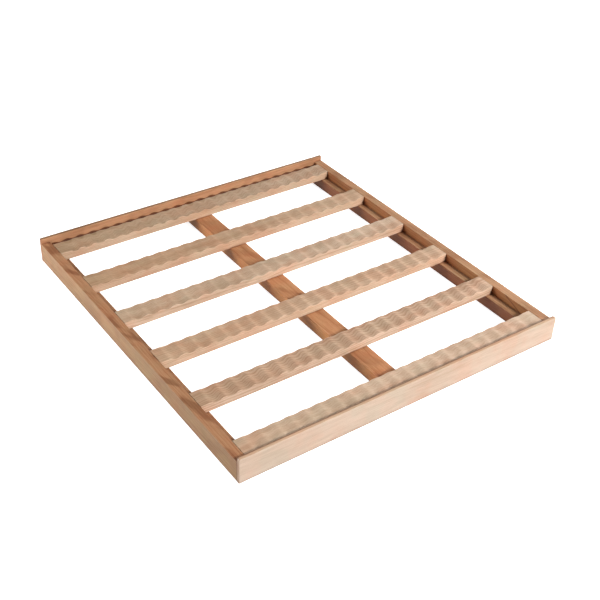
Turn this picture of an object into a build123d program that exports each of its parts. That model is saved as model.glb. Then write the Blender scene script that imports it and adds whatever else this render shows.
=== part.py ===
"""Slatted wooden bottle shelf for a wine cabinet, in millimetres.

Frame: +Z up, X across the shelf, the fascia faces -Y.
Origin: centre of the shelf's footprint, on the plane that the rails rest on.
"""
import os

from build123d import *

# ---- overall size ----
SHELF_WIDTH = 530.0
SHELF_DEPTH = 575.0

# ---- boards at the front and the back, both on edge ----
PANEL_THICKNESS = 5.5
FASCIA_HEIGHT = 39.0
FASCIA_CORNER_RADIUS = 3.0
BACK_BOARD_HEIGHT = 40.0

# ---- rebated side rails ----
RAIL_HEIGHT = 32.0
RAIL_TOP_WIDTH = 14.5
RAIL_FOOT_WIDTH = 27.0
LEDGE_HEIGHT = 18.0

# ---- centre stretcher, as high as the ledges ----
STRETCHER_WIDTH = 31.0

# ---- cross slats ----
SLAT_COUNT = 6
SLAT_WIDTH = 30.5
SLAT_PITCH = 104.1
SLAT_END_GAP = 0.3
FIRST_SLAT_GAP = 3.5

# ---- scallops across each slat's upper face, deeper at the slat's front edge ----
SCALLOP_FRONT_DEPTH = 2.8
SCALLOP_BACK_DEPTH = 1.1

# ---- how many scallops, how far apart, and the flat land before the first ----
SCALLOP_COUNT = 21
SCALLOP_PITCH = 22.8
LEFT_END_LAND = 12.0

# ---- the slat by the back board comes from another batch, with closer scallops ----
BACK_SLAT_SCALLOP_COUNT = 22
BACK_SLAT_SCALLOP_PITCH = 21.7
BACK_SLAT_LEFT_END_LAND = 12.9

# ---- small roundings left by sanding ----
EDGE_EASE = 0.8
SLAT_EDGE_EASE = 0.5

# ---- fasteners ----
BRAD_RADIUS = 0.6
BRAD_HEAD_RADIUS = 1.2
BRAD_HEAD_HEIGHT = 0.6
BRAD_LENGTH = 25.0
BRAD_SET = 0.5
PIN_RADIUS = 0.5
PIN_LENGTH = 22.0
PIN_SET = 1.5

# ---- where the fasteners go, from the middle of what they hold ----
LEDGE_BRAD_SPREAD = 9.0
STRETCHER_BRAD_X = 9.0
STRETCHER_BRAD_Y = 8.0
STRETCHER_END_X = 4.0
RAIL_END_HIGH = (7.5, 25.0)
RAIL_END_LOW = (15.0, 9.0)

# ---- worked out from the above ----
RAIL_LENGTH = SHELF_DEPTH - 2 * PANEL_THICKNESS
SLAT_THICKNESS = RAIL_HEIGHT - LEDGE_HEIGHT
SLAT_LENGTH = SHELF_WIDTH - 2 * (RAIL_TOP_WIDTH + SLAT_END_GAP)
FRONT_Y = -SHELF_DEPTH / 2
BACK_Y = SHELF_DEPTH / 2
OUTER_X = SHELF_WIDTH / 2
LEDGE_MIDDLE_X = OUTER_X - (RAIL_TOP_WIDTH + RAIL_FOOT_WIDTH) / 2
FIRST_SLAT_Y = FRONT_Y + PANEL_THICKNESS + FIRST_SLAT_GAP + SLAT_WIDTH / 2
SLAT_CENTRES = [FIRST_SLAT_Y + i * SLAT_PITCH for i in range(SLAT_COUNT)]
BRAD_TIP = BRAD_SET + BRAD_LENGTH


def ledge_brad_points(side):
    """Two brads under each slat end, on the middle line of one rail's ledge."""
    return [
        (side * LEDGE_MIDDLE_X, y + spread)
        for y in SLAT_CENTRES
        for spread in (-LEDGE_BRAD_SPREAD, LEDGE_BRAD_SPREAD)
    ]


def stretcher_brad_points():
    """Two brads in opposite corners of each crossing of slat and stretcher."""
    return [
        (corner * STRETCHER_BRAD_X, y + corner * STRETCHER_BRAD_Y)
        for y in SLAT_CENTRES
        for corner in (-1, 1)
    ]


def end_grain_points():
    """X and Z of the fasteners that go into the ends of the rails and the stretcher."""
    points = [(x, LEDGE_HEIGHT / 2) for x in (-STRETCHER_END_X, STRETCHER_END_X)]
    for side in (-1, 1):
        points += [(side * (OUTER_X - inset), z) for inset, z in (RAIL_END_HIGH, RAIL_END_LOW)]
    return points


def bore_up(points, bottom, top, radius, mode):
    """Round bars or holes standing on points (x, y), from one height to another."""
    with BuildSketch(Plane.XY.offset(bottom)) as circles:
        with Locations(*points):
            Circle(radius)
    extrude(circles.sketch, amount=top - bottom, mode=mode)


def bore_along(points, front, back, radius, mode):
    """Round bars or holes lying along Y at points (x, z), from front to back."""
    with BuildSketch(Plane.XZ.offset(-back)) as circles:
        with Locations(*points):
            Circle(radius)
    extrude(circles.sketch, amount=back - front, mode=mode)


def brad_holes_from_below(points, top):
    """Holes that the upright brads leave in a piece that rests on the base plane."""
    bore_up(points, 0, BRAD_SET + BRAD_HEAD_HEIGHT, BRAD_HEAD_RADIUS, Mode.SUBTRACT)
    bore_up(points, BRAD_SET + BRAD_HEAD_HEIGHT, top, BRAD_RADIUS, Mode.SUBTRACT)


def end_grain_holes():
    """Holes in both ends of a rail or the stretcher for the pins and the brads."""
    rail_front = FRONT_Y + PANEL_THICKNESS
    rail_back = BACK_Y - PANEL_THICKNESS
    pin_tip = FRONT_Y + PIN_SET + PIN_LENGTH
    brad_tip = BACK_Y - BRAD_TIP
    bore_along(end_grain_points(), rail_front, pin_tip, PIN_RADIUS, Mode.SUBTRACT)
    bore_along(end_grain_points(), brad_tip, rail_back, BRAD_RADIUS, Mode.SUBTRACT)


def slat_section(y, depth, count, pitch, land):
    """Face of a slat's cross section at one Y, with its scallops cut to the given depth."""
    first_crest = land - SLAT_LENGTH / 2
    last_crest = first_crest + count * pitch
    half_height = RAIL_HEIGHT - depth / 2
    down = [(first_crest + (i + 0.25) * pitch, half_height) for i in range(count)]
    up = [(first_crest + (i + 0.75) * pitch, half_height) for i in range(count)]
    with BuildSketch(Plane.XZ.offset(-y)) as section:
        with BuildLine():
            TangentArc((first_crest, RAIL_HEIGHT), down[0], tangent=(1, 0))
            for start, end in zip(down, up):
                SagittaArc(start, end, -depth / 2)
            for start, end in zip(up, down[1:]):
                SagittaArc(start, end, depth / 2)
            TangentArc((last_crest, RAIL_HEIGHT), up[-1], tangent=(-1, 0))
            Polyline(
                (last_crest, RAIL_HEIGHT),
                (SLAT_LENGTH / 2, RAIL_HEIGHT),
                (SLAT_LENGTH / 2, LEDGE_HEIGHT),
                (-SLAT_LENGTH / 2, LEDGE_HEIGHT),
                (-SLAT_LENGTH / 2, RAIL_HEIGHT),
                (first_crest, RAIL_HEIGHT),
            )
        make_face()
    return section.sketch


def export(part, name):
    """Label a finished sub-part and write it as its own STEP file."""
    part.label = name
    export_step(part, f"parts/{name}.step")


os.makedirs("parts", exist_ok=True)

# ---- front fascia: a board on edge with rounded upper corners ----
with BuildPart() as front_fascia:
    with BuildSketch(Plane.XZ.offset(-FRONT_Y)):
        Rectangle(SHELF_WIDTH, FASCIA_HEIGHT, align=(Align.CENTER, Align.MIN))
    extrude(amount=-PANEL_THICKNESS)
    upper_corners = front_fascia.edges().filter_by(Axis.Y).group_by(Axis.Z)[-1]
    fillet(upper_corners, FASCIA_CORNER_RADIUS)
    fillet(front_fascia.faces().sort_by(Axis.Y)[0].edges(), EDGE_EASE)
    fillet(front_fascia.faces().sort_by(Axis.Y)[-1].edges(), EDGE_EASE)
    bore_along(
        end_grain_points(), FRONT_Y + PIN_SET, FRONT_Y + PANEL_THICKNESS, PIN_RADIUS, Mode.SUBTRACT
    )
export(front_fascia.part, "front_fascia")

# ---- back board: slightly higher, with square corners and brad heads in its back ----
with BuildPart() as back_board:
    with BuildSketch(Plane.XZ.offset(-BACK_Y)):
        Rectangle(SHELF_WIDTH, BACK_BOARD_HEIGHT, align=(Align.CENTER, Align.MIN))
    extrude(amount=PANEL_THICKNESS)
    fillet(back_board.faces().sort_by(Axis.Y)[0].edges(), EDGE_EASE)
    fillet(back_board.faces().sort_by(Axis.Y)[-1].edges(), EDGE_EASE)
    head_front = BACK_Y - BRAD_SET - BRAD_HEAD_HEIGHT
    bore_along(end_grain_points(), head_front, BACK_Y, BRAD_HEAD_RADIUS, Mode.SUBTRACT)
    bore_along(
        end_grain_points(), BACK_Y - PANEL_THICKNESS, head_front, BRAD_RADIUS, Mode.SUBTRACT
    )
export(back_board.part, "back_board")

# ---- side rails: an upright with a ledge along the inside of its foot ----
for name, side in (("left_rail", -1), ("right_rail", 1)):
    with BuildPart() as rail:
        with BuildSketch(Plane.XZ):
            with BuildLine():
                Polyline(
                    (side * OUTER_X, 0),
                    (side * OUTER_X, RAIL_HEIGHT),
                    (side * (OUTER_X - RAIL_TOP_WIDTH), RAIL_HEIGHT),
                    (side * (OUTER_X - RAIL_TOP_WIDTH), LEDGE_HEIGHT),
                    (side * (OUTER_X - RAIL_FOOT_WIDTH), LEDGE_HEIGHT),
                    (side * (OUTER_X - RAIL_FOOT_WIDTH), 0),
                    close=True,
                )
            make_face()
        extrude(amount=RAIL_LENGTH / 2, both=True)
        long_edges = rail.edges().filter_by(Axis.Y)
        rebate_corner = long_edges.sort_by_distance(
            (side * (OUTER_X - RAIL_TOP_WIDTH), 0, LEDGE_HEIGHT)
        )[0]
        fillet([edge for edge in long_edges if edge != rebate_corner], EDGE_EASE)
        brad_holes_from_below(ledge_brad_points(side), LEDGE_HEIGHT)
        end_grain_holes()
    export(rail.part, name)

# ---- centre stretcher: a flat board that carries the middle of the slats ----
with BuildPart() as centre_stretcher:
    with BuildSketch(Plane.XZ):
        Rectangle(STRETCHER_WIDTH, LEDGE_HEIGHT, align=(Align.CENTER, Align.MIN))
    extrude(amount=RAIL_LENGTH / 2, both=True)
    fillet(centre_stretcher.edges().filter_by(Axis.Y), EDGE_EASE)
    brad_holes_from_below(stretcher_brad_points(), LEDGE_HEIGHT)
    end_grain_holes()
export(centre_stretcher.part, "centre_stretcher")

# ---- cross slats: a wave of scallops above, flat below, resting on the ledges ----
all_brad_points = ledge_brad_points(-1) + ledge_brad_points(1) + stretcher_brad_points()
usual_wave = (SCALLOP_COUNT, SCALLOP_PITCH, LEFT_END_LAND)
closer_wave = (BACK_SLAT_SCALLOP_COUNT, BACK_SLAT_SCALLOP_PITCH, BACK_SLAT_LEFT_END_LAND)

for number, slat_y in enumerate(SLAT_CENTRES, start=1):
    wave = closer_wave if number == SLAT_COUNT else usual_wave
    with BuildPart() as slat:
        front = slat_section(slat_y - SLAT_WIDTH / 2, SCALLOP_FRONT_DEPTH, *wave)
        back = slat_section(slat_y + SLAT_WIDTH / 2, SCALLOP_BACK_DEPTH, *wave)
        loft([front, back], ruled=True)
        fillet(slat.faces().sort_by(Axis.Y)[0].edges(), SLAT_EDGE_EASE)
        fillet(slat.faces().sort_by(Axis.Y)[-1].edges(), SLAT_EDGE_EASE)
        own_brads = [point for point in all_brad_points if abs(point[1] - slat_y) < SLAT_WIDTH / 2]
        bore_up(own_brads, LEDGE_HEIGHT, BRAD_TIP, BRAD_RADIUS, Mode.SUBTRACT)
    export(slat.part, f"slat_{number}")

# ---- upright brads, driven in from below ----
brad_sets = {
    "left_ledge_brads": ledge_brad_points(-1),
    "right_ledge_brads": ledge_brad_points(1),
    "stretcher_brads": stretcher_brad_points(),
}
for name, points in brad_sets.items():
    with BuildPart() as brads:
        bore_up(points, BRAD_SET, BRAD_SET + BRAD_HEAD_HEIGHT, BRAD_HEAD_RADIUS, Mode.ADD)
        bore_up(points, BRAD_SET + BRAD_HEAD_HEIGHT, BRAD_TIP, BRAD_RADIUS, Mode.ADD)
    export(brads.part, name)

# ---- headless pins behind the face of the fascia ----
with BuildPart() as fascia_pins:
    bore_along(
        end_grain_points(), FRONT_Y + PIN_SET, FRONT_Y + PIN_SET + PIN_LENGTH, PIN_RADIUS, Mode.ADD
    )
export(fascia_pins.part, "fascia_pins")

# ---- brads through the back board ----
with BuildPart() as back_board_brads:
    bore_along(end_grain_points(), BACK_Y - BRAD_TIP, head_front, BRAD_RADIUS, Mode.ADD)
    bore_along(end_grain_points(), head_front, BACK_Y - BRAD_SET, BRAD_HEAD_RADIUS, Mode.ADD)
export(back_board_brads.part, "back_board_brads")
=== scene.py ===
"""Looks of a slatted beech bottle shelf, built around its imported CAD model. Metres, +Z up."""
import math
from typing import NamedTuple

import bpy
from mathutils import Matrix, Vector


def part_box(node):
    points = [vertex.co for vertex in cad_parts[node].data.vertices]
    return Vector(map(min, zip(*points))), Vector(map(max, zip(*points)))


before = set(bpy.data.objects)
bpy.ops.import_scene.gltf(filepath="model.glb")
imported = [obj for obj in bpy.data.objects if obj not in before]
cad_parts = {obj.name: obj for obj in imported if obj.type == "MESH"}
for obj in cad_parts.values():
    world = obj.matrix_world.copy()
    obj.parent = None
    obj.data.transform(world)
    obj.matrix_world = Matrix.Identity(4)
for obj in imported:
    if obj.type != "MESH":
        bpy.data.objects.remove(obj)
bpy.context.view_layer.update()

SLATS = [f"slat_{number}" for number in range(1, 7)]
BACK_SLATS = SLATS[-2:]
LAST_SLAT = SLATS[-1]
BRADS = [
    "left_ledge_brads",
    "right_ledge_brads",
    "stretcher_brads",
    "fascia_pins",
    "back_board_brads",
]

RIGHT = (1.0, 0.0, 0.0)
LEFT = (-1.0, 0.0, 0.0)
FRONT = (0.0, -1.0, 0.0)
BACK = (0.0, 1.0, 0.0)
UP = (0.0, 0.0, 1.0)
WHITE = (1.0, 1.0, 1.0, 1.0)


# ---------------------------------------------------------------- node helpers
class Graph:
    """Short calls for building the node tree of a material or a world."""

    def __init__(self, owner):
        owner.use_nodes = True
        self.owner = owner
        self.tree = owner.node_tree
        self.tree.nodes.clear()

    def node(self, kind, **settings):
        made = self.tree.nodes.new(kind)
        for key, value in settings.items():
            setattr(made, key, value)
        return made

    def plug(self, socket, value):
        if isinstance(value, bpy.types.NodeSocket):
            self.tree.links.new(value, socket)
        else:
            socket.default_value = value

    def math(self, operation, a, b=0.0, c=0.0, clamp=False):
        made = self.node("ShaderNodeMath", operation=operation, use_clamp=clamp)
        for socket, value in zip(made.inputs, (a, b, c)):
            self.plug(socket, value)
        return made.outputs[0]

    def times(self, a, b):
        return self.math("MULTIPLY", a, b)

    def plus(self, a, b):
        return self.math("ADD", a, b)

    def minus(self, a, b):
        return self.math("SUBTRACT", a, b)

    def dot(self, a, b):
        made = self.node("ShaderNodeVectorMath", operation="DOT_PRODUCT")
        self.plug(made.inputs[0], a)
        self.plug(made.inputs[1], b)
        return made.outputs["Value"]

    def length(self, a):
        made = self.node("ShaderNodeVectorMath", operation="LENGTH")
        self.plug(made.inputs[0], a)
        return made.outputs["Value"]

    def shift(self, noise, reach):
        """A noise value turned into a push either way of nothing."""
        return self.times(self.minus(noise, 0.5), reach)

    def combine(self, x, y, z):
        made = self.node("ShaderNodeCombineXYZ")
        for socket, value in zip(made.inputs, (x, y, z)):
            self.plug(socket, value)
        return made.outputs[0]

    def split(self, vector):
        made = self.node("ShaderNodeSeparateXYZ")
        self.plug(made.inputs[0], vector)
        return made.outputs

    def noise(self, place, detail, roughness=0.5, output="Fac"):
        made = self.node("ShaderNodeTexNoise", noise_dimensions="3D")
        self.plug(made.inputs["Vector"], place)
        made.inputs["Scale"].default_value = 1.0
        made.inputs["Detail"].default_value = detail
        made.inputs["Roughness"].default_value = roughness
        return made.outputs[output]

    def span(self, value, start, end, to_start=0.0, to_end=1.0, smooth=True):
        """A value's way from start, which gives to_start, to end, which gives to_end."""
        made = self.node("ShaderNodeMapRange", clamp=True)
        made.interpolation_type = "SMOOTHSTEP" if smooth else "LINEAR"
        for socket, item in zip(made.inputs, (value, start, end, to_start, to_end)):
            self.plug(socket, item)
        return made.outputs[0]

    def mix(self, amount, a, b, blend="MIX"):
        made = self.node("ShaderNodeMix", data_type="RGBA", blend_type=blend)
        factor, first, second = made.inputs[0], made.inputs[6], made.inputs[7]
        for socket, value in ((factor, amount), (first, a), (second, b)):
            self.plug(socket, value)
        return made.outputs[2]

    def surface(self, settings):
        """The shader and the output of a material; settings go by the shader's socket names."""
        shader = self.node("ShaderNodeBsdfPrincipled")
        for socket, value in settings.items():
            self.plug(shader.inputs[socket], value)
        output = self.node("ShaderNodeOutputMaterial")
        self.plug(output.inputs[0], shader.outputs[0])


def give(node, material):
    """A CAD node keeps its shape and takes a finished material."""
    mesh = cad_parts[node].data
    mesh.materials.clear()
    mesh.materials.append(material)


# ---------------------------------------------------------------- beech
class Figure(NamedTuple):
    """A noise in the wood, laid out in three directions."""

    scale: tuple  # repeats per metre each way
    seed_share: tuple  # how far a board's seed moves it each way
    detail: float
    roughness: float = 0.5


WANDER = Figure((3.2, 14.0, 14.0), (1.0, 1.7, 2.3), detail=3.0)
FIBRE = Figure((36.0, 700.0, 700.0), (0.0, 0.0, 0.0), detail=3.0, roughness=0.6)
BAND = Figure((6.0, 110.0, 110.0), (1.0, 0.0, 0.0), detail=2.0)
RAY = Figure((480.0, 2600.0, 130.0), (0.0, 0.0, 0.0), detail=1.0)
CLOUD = Figure((13.0, 34.0, 34.0), (1.0, 0.37, 0.0), detail=3.0)
STAIN = Figure((17.0, 46.0, 30.0), (1.9, 1.0, 0.0), detail=2.0)
HUE = Figure((26.0, 40.0, 26.0), (26.0, 0.0, 26.0), detail=2.0)

# how far the fibres wander, and how far a stain moves across the grain for each length along it
WANDER_REACH = 0.016
STAIN_SLANT = 0.35

# how the years' widths vary, how each year darkens to its end, and how faint a year can be
YEAR_SCALE = 70.0
YEAR_UNEVENNESS = 2.4
LATE_WOOD_POWER = 2.5
LATE_WOOD_END = 0.90
FAINTEST_YEAR = 0.35

# the heights at which two noises are cut, for the years' widths and for their contrast
WIDTH_SLICE = 0.3
CONTRAST_SLICE = 0.7

# how dark the wood is between its figures, and how much each figure adds either way
BASE_DARKNESS = 0.24
BAND_SWING = 1.3
FIBRE_SWING = 1.6
CLOUD_SWING = 0.9

RAY_TINT = (0.72, 0.58, 0.47)
RAY_STRENGTH = 0.46
STAIN_TINT = (0.62, 0.50, 0.42)
STAIN_LOST_ON_SIDES = 0.65
PINK_TINT = (1.02, 0.93, 0.90)
GREY_TINT = (0.95, 1.0, 1.0)
END_GRAIN_TINT = (0.60, 0.47, 0.36)
END_GRAIN_STRENGTH = 0.75
WORN_COLOUR = (0.93, 0.80, 0.66, 1.0)
WORN_WIDTH = 0.0010
CREASE_TINT = (0.34, 0.21, 0.13)
CREASE_STRENGTH = 0.85
CREASE_REACH = 0.009

# the relief of each figure and of the cutter's ribs, in metres, and how much of it is used
FIBRE_RELIEF = 0.00008
LATE_WOOD_RELIEF = 0.00002
RAY_RELIEF = 0.00003
RIB_RELIEF = 0.000006
RIB_SPACING = 0.0011
RELIEF_STRENGTH = 0.5

ROUGHNESS = 0.46
ROUGHNESS_ADDED = 0.22
SPECULAR = 0.45

# how far either side of the shelf's middle a top's painted light falloff runs
TOP_LIGHT_FALLOFF_REACH = 0.25

# where each feature starts to show in its noise or measure, and where it is full
CONTRAST_EDGE = (0.3, 0.7)
RAY_EDGE = (0.58, 0.70)
STAIN_EDGE = (0.47, 0.60)
PINK_EDGE = (0.50, 0.68)
GREY_EDGE = (0.48, 0.34)
WORN_EDGE = (0.995, 0.90)
CREASE_EDGE = (0.78, 0.30)

# the same for how squarely a face has to look one way
SQUARELY = (0.6, 0.85)
UPWARD = (0.5, 0.8)
END_ON = (0.75, 0.98)


class Beech(Graph):
    """Solid beech: made with its figure, then marked by the calls below, then finished.

    grain is the way the fibres run; pith is the log's centre, aside from the board's middle
    and up from the floor; ring is a year's growth; seed sets the board apart. stock is the
    pale and the dark wood, and tint multiplies both. rings, blotch and wear say how strongly
    the years, the stains and the pale edges show.
    """

    def __init__(self, node, stock, tint, grain, pith, ring, seed, rings, blotch, wear):
        super().__init__(bpy.data.materials.new(f"beech_{node}"))
        self.board = node
        self.low, self.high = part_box(node)
        self.seed = seed
        centre = (self.low + self.high) / 2
        middle = centre.y if grain == RIGHT else centre.x
        self.pith = (middle + pith[0], pith[1])

        self.x, self.y, self.z = self.split(self.node("ShaderNodeTexCoord").outputs["Object"])
        self.along, self.across = (self.x, self.y) if grain == RIGHT else (self.y, self.x)
        geometry = self.node("ShaderNodeNewGeometry")
        self.normal = geometry.outputs["Normal"]
        self.flat_normal = geometry.outputs["True Normal"]
        self.top = self.facing(UP, UPWARD)
        self.leftward = self.facing(LEFT)

        self.grow(ring)
        pale, dark = ([value * by for value, by in zip(wood, tint)] + [1.0] for wood in stock)
        self.colour_figure(pale, dark, rings)
        self.colour_stains(blotch)
        self.colour_edges(grain, wear)

    def figure(self, figure, a, b, c, output="Fac"):
        """A figure's noise, with the three lengths it is laid out in."""
        places = []
        for value, scale, share in zip((a, b, c), figure.scale, figure.seed_share):
            places.append(self.math("MULTIPLY_ADD", value, scale, share * self.seed))
        return self.noise(self.combine(*places), figure.detail, figure.roughness, output)

    def facing(self, way, spread=SQUARELY):
        """Nothing for a face that looks away from a way, and one for a face that looks along it."""
        return self.span(self.dot(self.normal, way), *spread)

    def facing_along(self, way, spread=SQUARELY):
        """The same for a face that looks that way or the opposite way."""
        return self.span(self.math("ABSOLUTE", self.dot(self.normal, way)), *spread)

    def tint(self, amount, by):
        """Multiplies the colour by a tint, as far as amount says."""
        self.colour = self.mix(amount, self.colour, (*by, 1.0), "MULTIPLY")

    def grow(self, ring):
        """Fibres that wander, years round the pith, and the flecks of the rays."""
        wander = self.node("ShaderNodeSeparateColor")
        noise = self.figure(WANDER, self.along, self.across, self.z, output="Color")
        self.plug(wander.inputs[0], noise)
        wander_aside, wander_up, self.wander_cut = wander.outputs
        aside = self.minus(self.across, self.pith[0])
        aside = self.plus(aside, self.shift(wander_aside, WANDER_REACH))
        up = self.minus(self.z, self.pith[1])
        up = self.plus(up, self.shift(wander_up, WANDER_REACH))
        radius = self.length(self.combine(aside, up, 0.0))
        round_pith = self.times(self.math("ARCTAN2", up, aside), math.hypot(*self.pith))

        # uneven years, each darkening slowly and ending in a sharp line
        width_place = self.combine(self.times(radius, YEAR_SCALE), self.seed, WIDTH_SLICE)
        uneven = self.times(self.noise(width_place, detail=1.0), YEAR_UNEVENNESS)
        years = self.plus(self.math("DIVIDE", radius, ring), uneven)
        year = self.math("FRACT", years)
        darkening = self.math("POWER", year, LATE_WOOD_POWER)
        late = self.times(darkening, self.span(year, 1.0, LATE_WOOD_END))
        year_place = self.combine(self.math("FLOOR", years), self.seed, CONTRAST_SLICE)
        contrast = self.span(self.noise(year_place, detail=0.0), *CONTRAST_EDGE, FAINTEST_YEAR, 1.0)
        self.late = self.times(late, contrast)

        self.fibre = self.figure(FIBRE, self.along, aside, up)
        self.band = self.figure(BAND, self.along, aside, up)
        self.ray = self.span(self.figure(RAY, self.along, round_pith, radius), *RAY_EDGE)
        late_height = self.times(self.late, LATE_WOOD_RELIEF)
        height = self.math("MULTIPLY_ADD", self.fibre, FIBRE_RELIEF, late_height)
        self.height = self.minus(height, self.times(self.ray, RAY_RELIEF))

    def colour_figure(self, pale, dark, rings):
        cloud = self.figure(CLOUD, self.along, self.across, self.z)
        darkness = self.math("MULTIPLY_ADD", self.late, rings, BASE_DARKNESS)
        darkness = self.plus(darkness, self.shift(self.band, BAND_SWING))
        darkness = self.plus(darkness, self.shift(self.fibre, FIBRE_SWING))
        darkness = self.math("ADD", darkness, self.shift(cloud, CLOUD_SWING), clamp=True)
        self.colour = self.mix(darkness, pale, dark)
        self.tint(self.times(self.ray, RAY_STRENGTH), RAY_TINT)

    def colour_stains(self, blotch):
        """Stains that run slantwise to the grain, fainter on the sides, and patches of hue."""
        slanted = self.plus(self.across, self.times(self.along, STAIN_SLANT))
        stain = self.span(self.figure(STAIN, self.along, slanted, self.z), *STAIN_EDGE)
        sideways = self.facing_along(RIGHT)
        strength = self.math("MULTIPLY_ADD", sideways, -STAIN_LOST_ON_SIDES * blotch, blotch)
        self.tint(self.times(stain, strength), STAIN_TINT)
        hue = self.figure(HUE, self.x, self.y, self.z)
        self.tint(self.span(hue, *PINK_EDGE), PINK_TINT)
        self.tint(self.span(hue, *GREY_EDGE), GREY_TINT)

    def colour_edges(self, grain, wear):
        """End grain drinks light, and sanded edges are paler."""
        end = self.facing_along(grain, END_ON)
        self.tint(self.times(end, END_GRAIN_STRENGTH), END_GRAIN_TINT)
        bevel = self.node("ShaderNodeBevel", samples=4)
        bevel.inputs["Radius"].default_value = WORN_WIDTH
        worn = self.span(self.dot(bevel.outputs[0], self.flat_normal), *WORN_EDGE)
        self.colour = self.mix(self.times(worn, wear), self.colour, WORN_COLOUR)

    def mill_and_shade_top(self, tint):
        """The faces that look up take a tint, partly the milled wood's own tone and partly painted
        shade, and a cutter leaves them finely ribbed.
        """
        # painted shade: the faces that look up are darkened
        self.tint(self.top, tint)
        ribs = self.math("SINE", self.times(self.across, 2 * math.pi / RIB_SPACING))
        self.height = self.math("MULTIPLY_ADD", self.times(ribs, self.top), RIB_RELIEF, self.height)

    def paint_left_light_and_shade(self, tint):
        # painted light and shade: the faces that look left get a tint for how light falls on that
        # side
        self.tint(self.leftward, tint)

    def paint_top_light_falloff(self, at_left, at_right):
        """Painted light on the top: its tint drifts from darker at the board's left end to lighter
        at its right end.
        """
        way = self.span(self.x, -TOP_LIGHT_FALLOFF_REACH, TOP_LIGHT_FALLOFF_REACH, smooth=False)
        fade = self.mix(way, (*at_left, 1.0), (*at_right, 1.0))
        self.colour = self.mix(self.top, self.colour, fade, "MULTIPLY")

    def finish(self, crease_reach=CREASE_REACH):
        """Shade in the joints, relief and gloss; then the CAD node takes the material."""
        crease = self.node("ShaderNodeAmbientOcclusion", samples=8)
        crease.inputs["Distance"].default_value = crease_reach
        deep = self.span(crease.outputs["AO"], *CREASE_EDGE)
        self.tint(self.times(deep, CREASE_STRENGTH), CREASE_TINT)
        bump = self.node("ShaderNodeBump")
        bump.inputs["Strength"].default_value = RELIEF_STRENGTH
        bump.inputs["Distance"].default_value = 1.0
        self.plug(bump.inputs["Height"], self.height)
        self.surface({
            "Base Color": self.colour,
            "Roughness": self.math("MULTIPLY_ADD", self.fibre, ROUGHNESS_ADDED, ROUGHNESS),
            "Specular IOR Level": SPECULAR,
            "Normal": bump.outputs[0],
        })
        give(self.board, self.owner)


# ---------------------------------------------------------------- boards
# the pale and the dark wood of each kind of board
WARM_BEECH = ((0.52, 0.30, 0.170), (0.36, 0.175, 0.085))
SLAT_BEECH = ((0.60, 0.42, 0.285), (0.42, 0.26, 0.155))
FASCIA_BEECH = ((0.68, 0.515, 0.40), (0.52, 0.36, 0.25))

# how strongly the mineral streak and the painted shade at the fascia's back top edge show, and a
# painted shadow's line
STREAK_AND_SHADE_STRENGTH = 0.85
SHADOW_STRENGTH = 0.95

# how far apart the scallops are, and how far the first crest is from a slat's left end
SCALLOP_PITCH = 0.0228
FIRST_CREST = 0.012
LAST_SLAT_PITCH = 0.0217
LAST_SLAT_FIRST_CREST = 0.0129


def make_front_fascia():
    """Pale and even, with painted shade along the back of its upper edge."""
    wood = Beech("front_fascia", FASCIA_BEECH, (0.95, 0.96, 0.98), RIGHT, (-0.07, 0.0),
                 ring=0.0035, seed=1.3, rings=0.3, blotch=0.08, wear=0.0)
    wood.mill_and_shade_top((0.70, 0.60, 0.50))
    # painted shade: a dark strip along the back of the top edge, where shade falls behind the
    # fascia
    back_edge_shade_start = wood.high.y - 0.0024
    back_edge_shade_end = wood.high.y - 0.0010
    back_edge_shade = wood.span(wood.y, back_edge_shade_start, back_edge_shade_end)
    wood.tint(wood.times(back_edge_shade, STREAK_AND_SHADE_STRENGTH), (0.42, 0.30, 0.22))
    wood.finish()


def make_back_board():
    """Warm, and dark below the wavy line where the last slat's shadow falls on its front."""
    wood = Beech("back_board", WARM_BEECH, (0.96, 0.85, 0.79), RIGHT, (0.06, 0.05),
                 ring=0.0030, seed=7.9, rings=0.5, blotch=0.35, wear=0.0)
    wood.mill_and_shade_top((0.62, 0.66, 0.66))
    wood.paint_top_light_falloff((0.80, 0.76, 0.64), (1.12, 1.18, 1.22))
    slat_low, slat_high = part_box(LAST_SLAT)
    line_height = slat_high.z - 0.0046
    line_swing = 0.0011
    line_softness = 0.0009
    line_shift = 0.003
    first_crest = slat_low.x + LAST_SLAT_FIRST_CREST + line_shift
    phase = wood.times(wood.minus(wood.x, first_crest), 2 * math.pi / LAST_SLAT_PITCH)
    line = wood.math("MULTIPLY_ADD", wood.math("COSINE", phase), -line_swing, line_height)
    below = wood.span(wood.z, wood.plus(line, line_softness), line)
    hidden = wood.times(below, wood.facing(FRONT))
    wood.tint(wood.times(hidden, SHADOW_STRENGTH), (0.21, 0.10, 0.02))
    wood.finish(crease_reach=0.010)


def make_left_rail():
    """Dark and mottled on top; painted light makes its outer side yellower."""
    wood = Beech("left_rail", WARM_BEECH, (0.68, 0.60, 0.52), BACK, (0.045, -0.03),
                 ring=0.0032, seed=3.1, rings=1.0, blotch=0.95, wear=0.05)
    wood.paint_left_light_and_shade((1.03, 1.17, 1.08))
    wood.finish()


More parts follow.
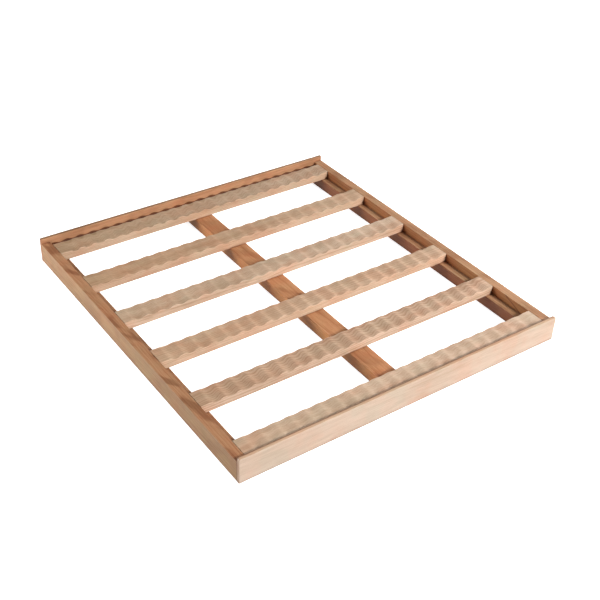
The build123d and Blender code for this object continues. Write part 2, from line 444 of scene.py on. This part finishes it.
def make_right_rail():
    """Darker inside than on top by painted shade, deepest below the ledge's height, with a mineral
    streak across its inner side near the front.
    """
    wood = Beech("right_rail", WARM_BEECH, (0.80, 0.79, 0.76), BACK, (-0.05, 0.07),
                 ring=0.0032, seed=5.7, rings=0.8, blotch=0.5, wear=0.05)
    # painted shade on the inner side, which looks left
    wood.paint_left_light_and_shade((0.86, 0.62, 0.38))
    ledge_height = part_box(LAST_SLAT)[0].z
    # painted shade: the inner side below the ledge's height is darker still
    shaded_foot_softness = 0.001
    shaded_foot = wood.span(wood.z, ledge_height + shaded_foot_softness, ledge_height)
    wood.tint(wood.times(shaded_foot, wood.leftward), (0.78, 0.58, 0.38))
    streak_at_ledge = wood.low.y + 0.049
    streak_at_top = wood.low.y + 0.084
    streak_waver = 0.008
    streak_core = 0.0010
    streak_reach = 0.0034
    slope = (streak_at_top - streak_at_ledge) / (wood.high.z - ledge_height)
    line = wood.math("MULTIPLY_ADD", wood.minus(wood.z, ledge_height), slope, streak_at_ledge)
    line = wood.plus(line, wood.shift(wood.band, streak_waver))
    off = wood.math("ABSOLUTE", wood.minus(wood.y, line))
    streak = wood.times(wood.span(off, streak_reach, streak_core), wood.leftward)
    wood.tint(wood.times(streak, STREAK_AND_SHADE_STRENGTH), (0.30, 0.20, 0.14))
    wood.finish()


def make_centre_stretcher():
    """The reddest board; painted light makes its left side lighter and yellower."""
    wood = Beech("centre_stretcher", WARM_BEECH, (0.88, 0.73, 0.60), BACK, (0.02, -0.06),
                 ring=0.0032, seed=9.2, rings=0.8, blotch=0.6, wear=0.05)
    wood.paint_left_light_and_shade((1.28, 1.17, 0.84))
    wood.finish()


# in parts of a scallop from one crest to the next: where its lit side, which gets no painted shade,
# starts and ends
LIT_SIDE_START = (0.0, 0.16)
LIT_SIDE_END = (0.62, 0.22)
# how far the painted shade's edge wavers, and its colour
SCALLOP_SHADE_WAVER = 0.25
SCALLOP_SHADE_COLOUR = (0.10, 0.05, 0.02, 1.0)
# whole scallops keep the phase positive; the rest moves the lit side left by that part
PHASE_OFFSET = 10.02

FIRST_SLAT_SEED = 11.3
SEED_STEP = 2.9

# painted light on a slat's top: its tint drifts from darker at its left end to lighter at its right
# end
TOP_LIGHT_FALLOFF = ((0.91, 0.90, 0.86), (1.05, 1.09, 1.13))
BACK_TOP_LIGHT_FALLOFF = ((0.88, 0.83, 0.74), (1.10, 1.13, 1.17))

# each slat's tint, its top's tint (milled tone and painted shade), how its rings and its scallops'
# painted shade show, and its pith
SLAT_LOOKS = (
    ((1.10, 1.13, 1.22), (0.79, 0.80, 0.80), 0.50, 0.10, (0.050, -0.010)),
    ((1.11, 1.14, 1.25), (0.78, 0.74, 0.70), 1.90, 0.22, (0.030, -0.012)),
    ((1.11, 1.11, 1.16), (0.82, 0.81, 0.79), 1.20, 0.21, (-0.034, -0.018)),
    ((1.11, 1.14, 1.23), (0.80, 0.81, 0.80), 1.10, 0.17, (0.058, -0.006)),
    ((1.03, 1.00, 1.02), (0.80, 0.80, 0.78), 1.00, 0.15, (-0.045, -0.030)),
    ((1.02, 1.02, 1.05), (0.72, 0.75, 0.76), 1.00, 0.12, (0.026, -0.024)),
)


def paint_scallop_shade(wood, first_crest, pitch, strength):
    """Painted shade on the side of each scallop that faces left, away from the light; the side that
    faces right stays lit.
    """
    phase = wood.math("DIVIDE", wood.minus(wood.x, first_crest), pitch)
    phase = wood.plus(phase, wood.shift(wood.wander_cut, SCALLOP_SHADE_WAVER))
    phase = wood.math("FRACT", wood.plus(phase, PHASE_OFFSET))
    lit_side = wood.times(wood.span(phase, *LIT_SIDE_START), wood.span(phase, *LIT_SIDE_END))
    shaded_side = wood.times(wood.minus(1.0, lit_side), wood.top)
    wood.colour = wood.mix(wood.times(shaded_side, strength), wood.colour, SCALLOP_SHADE_COLOUR)


def make_slats():
    """Six pale slats, milled across the grain, and each cut from its own log."""
    for index, (node, look) in enumerate(zip(SLATS, SLAT_LOOKS)):
        tint, milled, rings, scallops, pith = look
        seed = FIRST_SLAT_SEED + SEED_STEP * index
        wood = Beech(node, SLAT_BEECH, tint, RIGHT, pith,
                     ring=0.0024, seed=seed, rings=rings, blotch=0.18, wear=0.10)
        wood.mill_and_shade_top(milled)
        wood.paint_top_light_falloff(*(BACK_TOP_LIGHT_FALLOFF if node in BACK_SLATS else TOP_LIGHT_FALLOFF))
        if node == LAST_SLAT:
            paint_scallop_shade(wood, wood.low.x + LAST_SLAT_FIRST_CREST, LAST_SLAT_PITCH, scallops)
        else:
            paint_scallop_shade(wood, wood.low.x + FIRST_CREST, SCALLOP_PITCH, scallops)
        wood.finish()


DRAWING_SCALE = (4000.0, 4000.0, 900.0)
TARNISH_SCALE = 500.0
TARNISH_EDGE = (0.45, 0.7)
BRIGHT_STEEL = (0.62, 0.61, 0.59, 1.0)
TARNISHED_STEEL = (0.40, 0.36, 0.31, 1.0)
STEEL_ROUGHNESS = 0.25
DRAWING_ROUGHNESS = 0.25


def make_brads():
    """Bright wire with faint drawing marks and a little tarnish."""
    g = Graph(bpy.data.materials.new("brad_steel"))
    axes = g.split(g.node("ShaderNodeTexCoord").outputs["Object"])
    drawing_place = g.combine(*(g.times(axis, scale) for axis, scale in zip(axes, DRAWING_SCALE)))
    drawing = g.noise(drawing_place, detail=2.0)
    tarnish_place = g.combine(*(g.times(axis, TARNISH_SCALE) for axis in axes))
    tarnish = g.span(g.noise(tarnish_place, detail=2.0), *TARNISH_EDGE)
    g.surface({
        "Base Color": g.mix(tarnish, BRIGHT_STEEL, TARNISHED_STEEL),
        "Roughness": g.math("MULTIPLY_ADD", drawing, DRAWING_ROUGHNESS, STEEL_ROUGHNESS),
        "Metallic": 1.0,
    })
    for node in BRADS:
        give(node, g.owner)


# ---------------------------------------------------------------- stage
FLOOR_HALF_WIDTH = 12.0
FLOOR_WHITENESS = 0.80
FLOOR_GLOW = 0.90
WALL_HEIGHT = 14.0
WALL_WHITENESS = 0.0
WALL_GLOW = 1.0

# below the horizon the room is warm and dim, and above it white
WARM_GLOW = (1.0, 0.74, 0.50, 1.0)
LOW_STRENGTH = 0.12
ADDED_STRENGTH = 0.15
HORIZON_SOFTNESS = 0.05

# each soft box's place, size, power and colour
LAMPS = {
    "key": ((0.74, -2.02, 1.45), 0.40, 78.0, (1.0, 0.99, 0.97)),
    "right": ((1.38, -0.25, 0.80), 0.8, 13.0, (1.0, 0.985, 0.965)),
    "left": ((-1.30, 0.55, 0.46), 0.6, 18.0, (1.0, 0.99, 0.98)),
}

CAMERA_PLACE = Vector((-0.7370, -1.0396, 0.9002))
CAMERA_BEARING = math.radians(36.22)
CAMERA_PITCH = math.radians(-35.32)
CAMERA_ROLL = math.radians(2.33)
SENSOR_WIDTH = 36.0
LENS = 62.54


def add_object(name, data):
    made = bpy.data.objects.new(name, data)
    bpy.context.scene.collection.objects.link(made)
    return made


def set_up(name, corners, faces, whiteness, glow):
    """A white stage surface that doesn't bounce light back at the shelf."""
    mesh = bpy.data.meshes.new(name)
    mesh.from_pydata(corners, [], faces)
    made = add_object(name, mesh)
    made.visible_diffuse = False
    g = Graph(bpy.data.materials.new(f"{name}_paint"))
    g.surface({
        "Base Color": (whiteness, whiteness, whiteness, 1.0),
        "Roughness": 0.9,
        "Specular IOR Level": 0.1,
        "Emission Color": WHITE,
        "Emission Strength": glow,
    })
    mesh.materials.append(g.owner)
    return made


def make_stage():
    """A wide white floor, and far white walls that stand round it."""
    signs = ((-1, -1), (1, -1), (1, 1), (-1, 1))
    ring = [(x * FLOOR_HALF_WIDTH, y * FLOOR_HALF_WIDTH) for x, y in signs]
    low = [(x, y, 0.0) for x, y in ring]
    high = [(x, y, WALL_HEIGHT) for x, y in ring]
    set_up("floor", low, [(0, 1, 2, 3)], FLOOR_WHITENESS, FLOOR_GLOW)
    sides = [(i, (i + 1) % 4, (i + 1) % 4 + 4, i + 4) for i in range(4)]
    walls = set_up("walls", low + high, sides, WALL_WHITENESS, WALL_GLOW)
    walls.visible_shadow = False
    walls.visible_glossy = False


def light_room():
    """Soft boxes at the front and on both sides, in a room that is warm below the horizon."""
    world = bpy.data.worlds.new("studio")
    bpy.context.scene.world = world
    g = Graph(world)
    height = g.split(g.node("ShaderNodeTexCoord").outputs["Generated"])[2]
    above = g.span(height, -HORIZON_SOFTNESS, HORIZON_SOFTNESS, smooth=False)
    background = g.node("ShaderNodeBackground")
    g.plug(background.inputs["Color"], g.mix(above, WARM_GLOW, WHITE))
    strength = g.math("MULTIPLY_ADD", above, ADDED_STRENGTH, LOW_STRENGTH)
    g.plug(background.inputs["Strength"], strength)
    output = g.node("ShaderNodeOutputWorld")
    g.plug(output.inputs[0], background.outputs[0])

    for name, (place, size, power, colour) in LAMPS.items():
        data = bpy.data.lights.new(name, "AREA")
        data.size = size
        data.energy = power
        data.color = colour
        lamp = add_object(name, data)
        lamp.location = place
        lamp.rotation_euler = (-Vector(place)).to_track_quat("-Z", "Y").to_euler()


def place_camera():
    data = bpy.data.cameras.new("camera")
    data.sensor_width = SENSOR_WIDTH
    data.lens = LENS
    camera = add_object("camera", data)
    turn = Matrix.Rotation(-CAMERA_BEARING, 4, "Z")
    tilt = Matrix.Rotation(math.pi / 2 + CAMERA_PITCH, 4, "X")
    roll = Matrix.Rotation(CAMERA_ROLL, 4, "Z")
    camera.matrix_world = Matrix.Translation(CAMERA_PLACE) @ turn @ tilt @ roll
    bpy.context.scene.camera = camera


make_front_fascia()
make_back_board()
make_left_rail()
make_right_rail()
make_centre_stretcher()
make_slats()
make_brads()
make_stage()
light_room()
place_camera()
bpy.context.scene.view_settings.view_transform = "Standard"
